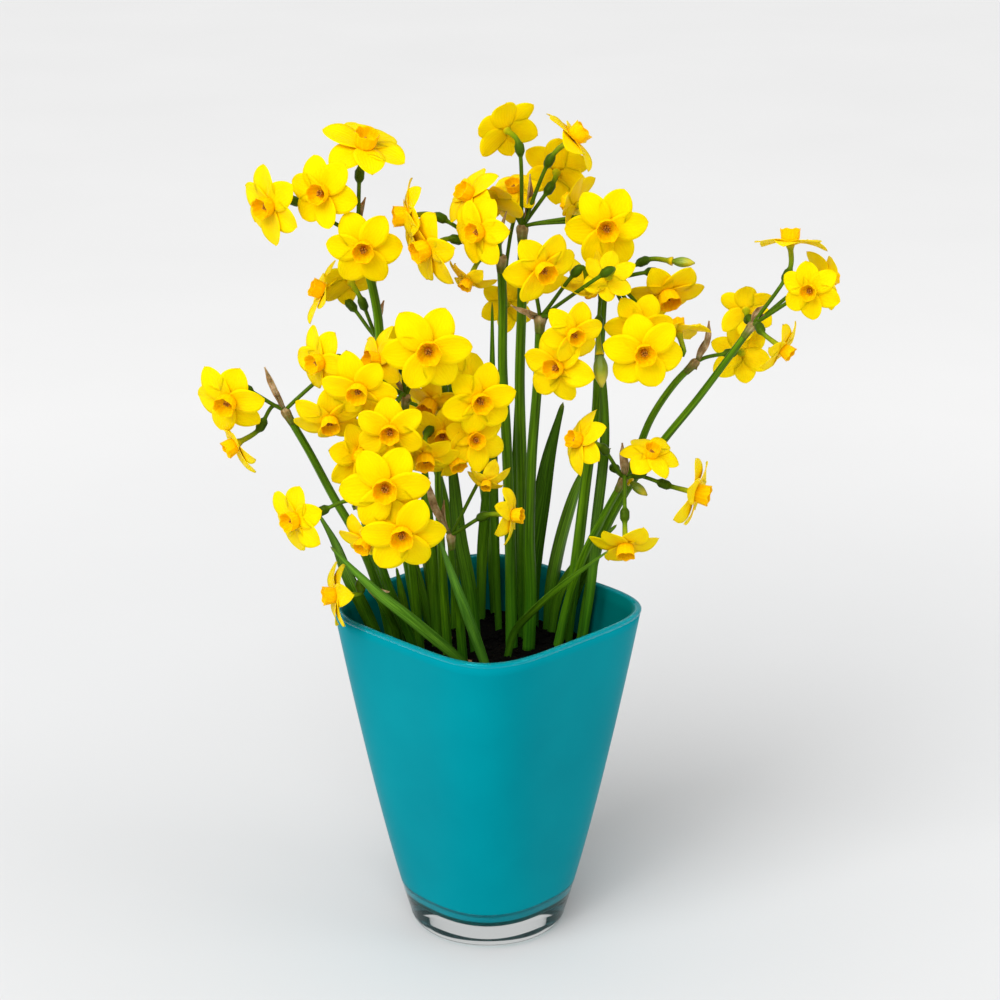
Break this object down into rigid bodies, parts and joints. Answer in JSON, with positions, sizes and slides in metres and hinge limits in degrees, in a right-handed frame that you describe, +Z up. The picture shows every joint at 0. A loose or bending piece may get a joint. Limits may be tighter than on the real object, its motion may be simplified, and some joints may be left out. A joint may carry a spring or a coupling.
{
  "type": "potted daffodils in a square glass jar",
  "caption": "Many-flowered yellow daffodils growing from bulbs in soil, in a square tapered clear glass jar with a coloured inner layer and a thick clear foot.",
  "frame": {"origin": "centre of the jar's flat underside", "axes": "+Z up along the jar's axis, -Y towards the front view, the jar's four corners along X and Y"},
  "size_m": [0.3272, 0.186, 0.4456],
  "materials": {
    "clear_glass": "clear polished glass, thick at the foot",
    "teal_lining": "smooth glossy teal inner layer",
    "soil": "damp, crumbly, near-black potting soil",
    "bulb": "dry brown papery skin",
    "stem": "smooth, faintly ridged green stem",
    "leaf": "waxy green strap leaf with lengthwise veins",
    "flower": "soft satin yellow petals, paler and drier on older flowers",
    "cup": "satin orange-yellow frilled cup, deeper orange inside",
    "stamen": "dusty golden anthers",
    "spathe": "thin dry pinkish-brown bract"
  },
  "bodies": {
    "root": {"glass_jar": "clear_glass", "coloured_lining": "teal_lining", "potting_soil": "soil", "bulb_1": "bulb", "bulb_2": "bulb", "bulb_3": "bulb", "bulb_4": "bulb", "bulb_5": "bulb", "bulb_6": "bulb", "flower_stem_1": "stem", "flower_stem_2": "stem", "flower_stem_3": "stem", "flower_stem_4": "stem", "flower_stem_5": "stem", "flower_stem_6": "stem", "flower_stem_7": "stem", "flower_stem_8": "stem", "flower_stem_9": "stem", "flower_stem_10": "stem", "flower_stem_11": "stem", "flower_stem_12": "stem", "flower_stem_13": "stem", "flower_stem_14": "stem", "flower_stem_15": "stem", "flower_stem_16": "stem", "flower_head_1": "flower", "flower_head_2": "flower", "flower_head_3": "flower", "flower_head_4": "flower", "flower_head_5": "flower", "flower_head_6": "flower", "flower_head_7": "flower", "flower_head_8": "flower", "flower_head_9": "flower", "flower_head_10": "flower", "flower_head_11": "flower", "flower_head_12": "flower", "flower_head_13": "flower", "flower_head_14": "flower", "flower_head_15": "flower", "flower_head_16": "flower", "leaf_1": "leaf", "leaf_2": "leaf", "leaf_3": "leaf", "leaf_4": "leaf", "leaf_5": "leaf", "leaf_6": "leaf", "leaf_7": "leaf", "leaf_8": "leaf", "leaf_9": "leaf", "leaf_10": "leaf", "leaf_11": "leaf", "leaf_12": "leaf", "leaf_13": "leaf", "leaf_14": "leaf", "leaf_15": "leaf", "leaf_16": "leaf", "leaf_17": "leaf"}
  },
  "joints": []
}
